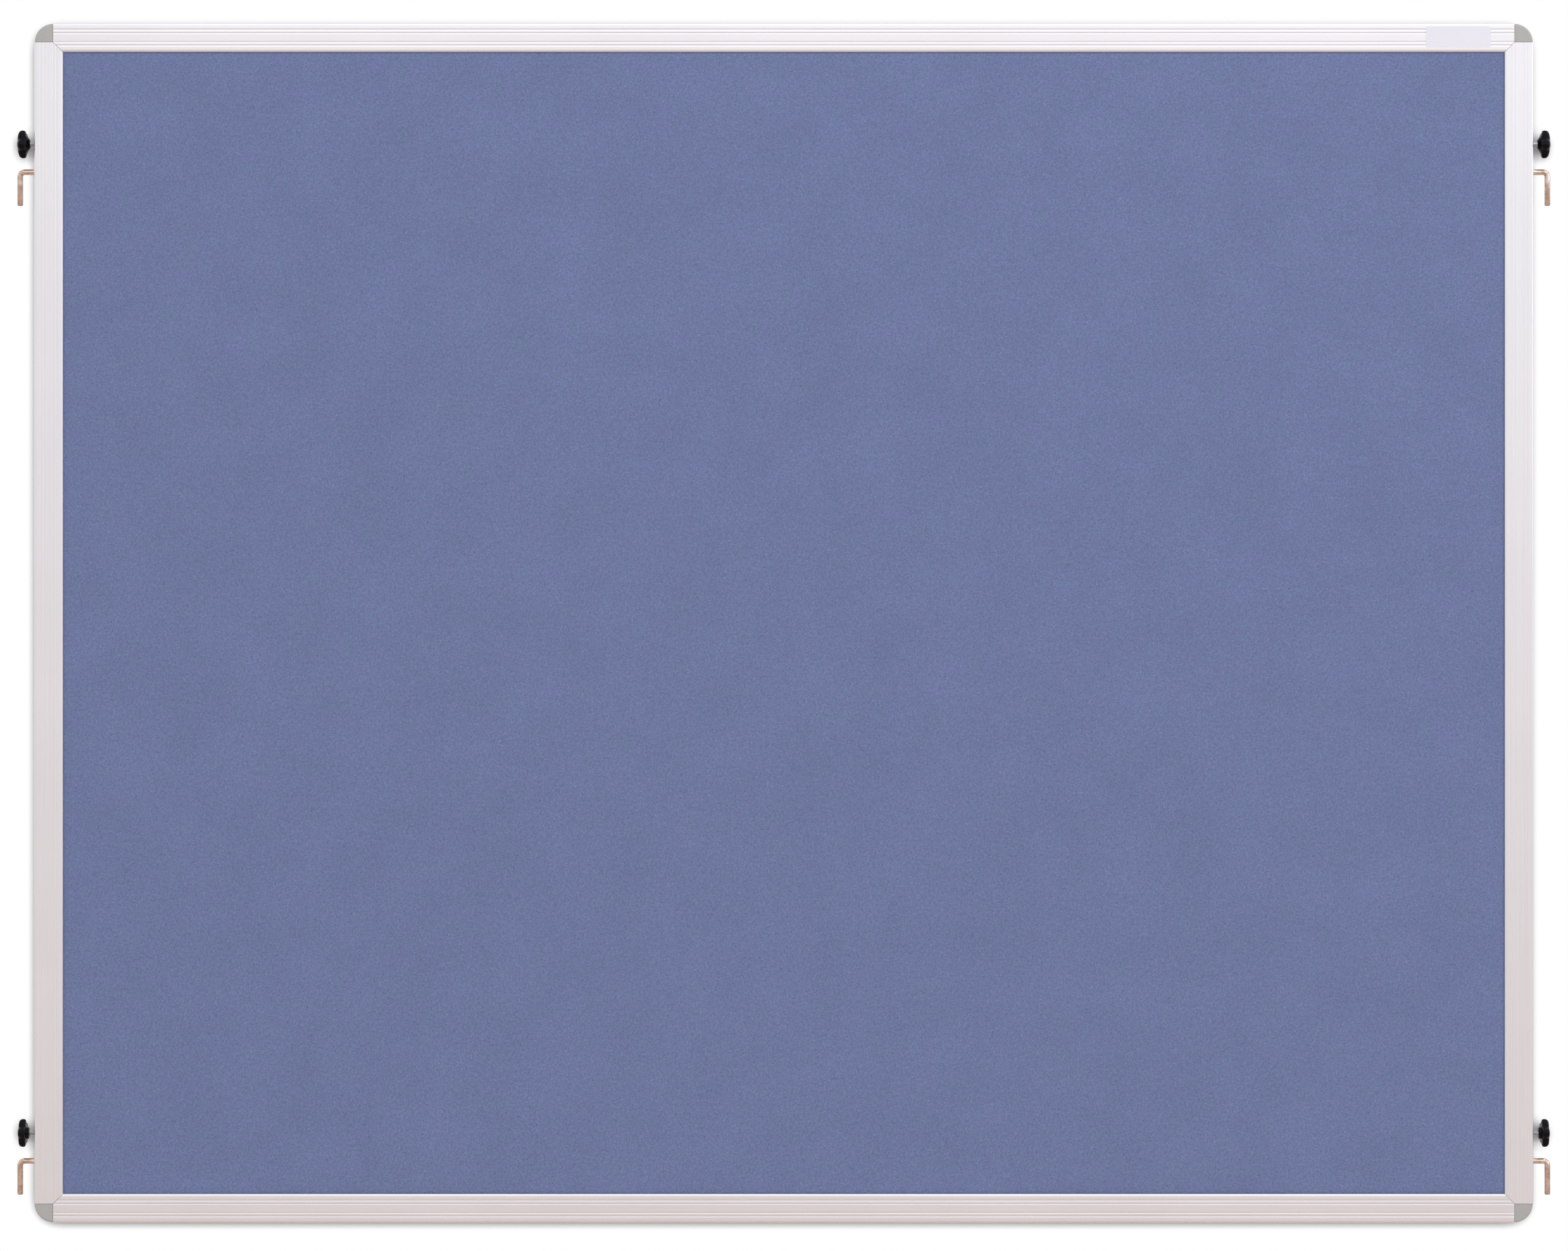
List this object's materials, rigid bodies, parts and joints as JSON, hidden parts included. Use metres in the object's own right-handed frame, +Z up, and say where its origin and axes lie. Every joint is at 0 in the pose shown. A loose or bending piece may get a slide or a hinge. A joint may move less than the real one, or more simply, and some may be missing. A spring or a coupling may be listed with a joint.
{
  "type": "mobile pinboard",
  "caption": "Felt-covered pinboard panel in a grooved aluminium frame with rounded corners, hung by side hooks and clamped by star grips.",
  "frame": {"origin": "middle of the bottom bar's lower side, half way through the frame's depth", "axes": "+X along the width, to the right as seen from the front; +Z up; the front felt faces -Y"},
  "size_m": [1.536, 0.0276, 1.2],
  "materials": {
    "aluminium": "satin",
    "cap_plastic": "satin",
    "felt": "matte",
    "soft_board": "matte",
    "knob_plastic": "satin",
    "zinc": "satin"
  },
  "bodies": {
    "board": {"frame_top": "aluminium", "frame_bottom": "aluminium", "frame_left": "aluminium", "frame_right": "aluminium", "corner_cap_lower_left": "cap_plastic", "corner_screw_lower_left_first": "zinc", "corner_screw_lower_left_second": "zinc", "corner_cap_lower_right": "cap_plastic", "corner_screw_lower_right_first": "zinc", "corner_screw_lower_right_second": "zinc", "corner_cap_upper_left": "cap_plastic", "corner_screw_upper_left_first": "zinc", "corner_screw_upper_left_second": "zinc", "corner_cap_upper_right": "cap_plastic", "corner_screw_upper_right_first": "zinc", "corner_screw_upper_right_second": "zinc", "felt_front": "felt", "core_board": "soft_board", "felt_rear": "felt", "hook_lower_left": "zinc", "hook_insert_lower_left": "zinc", "knob_insert_lower_left": "zinc", "hook_lower_right": "zinc", "hook_insert_lower_right": "zinc", "knob_insert_lower_right": "zinc", "hook_upper_left": "zinc", "hook_insert_upper_left": "zinc", "knob_insert_upper_left": "zinc", "hook_upper_right": "zinc", "hook_insert_upper_right": "zinc", "knob_insert_upper_right": "zinc"},
    "stud_lower_left": {"knob_stud_lower_left": "zinc"},
    "grip_lower_left": {"star_knob_lower_left": "knob_plastic"},
    "stud_lower_right": {"knob_stud_lower_right": "zinc"},
    "grip_lower_right": {"star_knob_lower_right": "knob_plastic"},
    "stud_upper_left": {"knob_stud_upper_left": "zinc"},
    "grip_upper_left": {"star_knob_upper_left": "knob_plastic"},
    "stud_upper_right": {"knob_stud_upper_right": "zinc"},
    "grip_upper_right": {"star_knob_upper_right": "knob_plastic"}
  },
  "joints": [
    {"name": "knob_travel_lower_left", "type": "slide", "parent": "board", "child": "stud_lower_left", "axis": [-1, 0, 0], "range_m": [-0.00421, 0.00841]},
    {"name": "knob_turn_lower_left", "type": "hinge", "parent": "stud_lower_left", "child": "grip_lower_left", "pos_m": [-0.7562, 0, 0.0889], "axis": [-1, 0, 0], "range_deg": [-2160, 4320]},
    {"name": "knob_travel_lower_right", "type": "slide", "parent": "board", "child": "stud_lower_right", "axis": [1, 0, 0], "range_m": [-0.00421, 0.00841]},
    {"name": "knob_turn_lower_right", "type": "hinge", "parent": "stud_lower_right", "child": "grip_lower_right", "pos_m": [0.7562, 0, 0.0889], "axis": [1, 0, 0], "range_deg": [-2160, 4320]},
    {"name": "knob_travel_upper_left", "type": "slide", "parent": "board", "child": "stud_upper_left", "axis": [-1, 0, 0], "range_m": [-0.00451, 0.01001]},
    {"name": "knob_turn_upper_left", "type": "hinge", "parent": "stud_upper_left", "child": "grip_upper_left", "pos_m": [-0.7551, 0, 1.0799], "axis": [-1, 0, 0], "range_deg": [-1620, 3600]},
    {"name": "knob_travel_upper_right", "type": "slide", "parent": "board", "child": "stud_upper_right", "axis": [1, 0, 0], "range_m": [-0.00451, 0.01001]},
    {"name": "knob_turn_upper_right", "type": "hinge", "parent": "stud_upper_right", "child": "grip_upper_right", "pos_m": [0.7551, 0, 1.0799], "axis": [1, 0, 0], "range_deg": [-1620, 3600]}
  ],
  "couplings": [
    {"joint": "knob_travel_lower_left", "follows": "knob_turn_lower_left", "m_per_rad": 0.00011141},
    {"joint": "knob_travel_lower_right", "follows": "knob_turn_lower_right", "m_per_rad": 0.00011141},
    {"joint": "knob_travel_upper_left", "follows": "knob_turn_upper_left", "m_per_rad": 0.00015915},
    {"joint": "knob_travel_upper_right", "follows": "knob_turn_upper_right", "m_per_rad": 0.00015915}
  ]
}
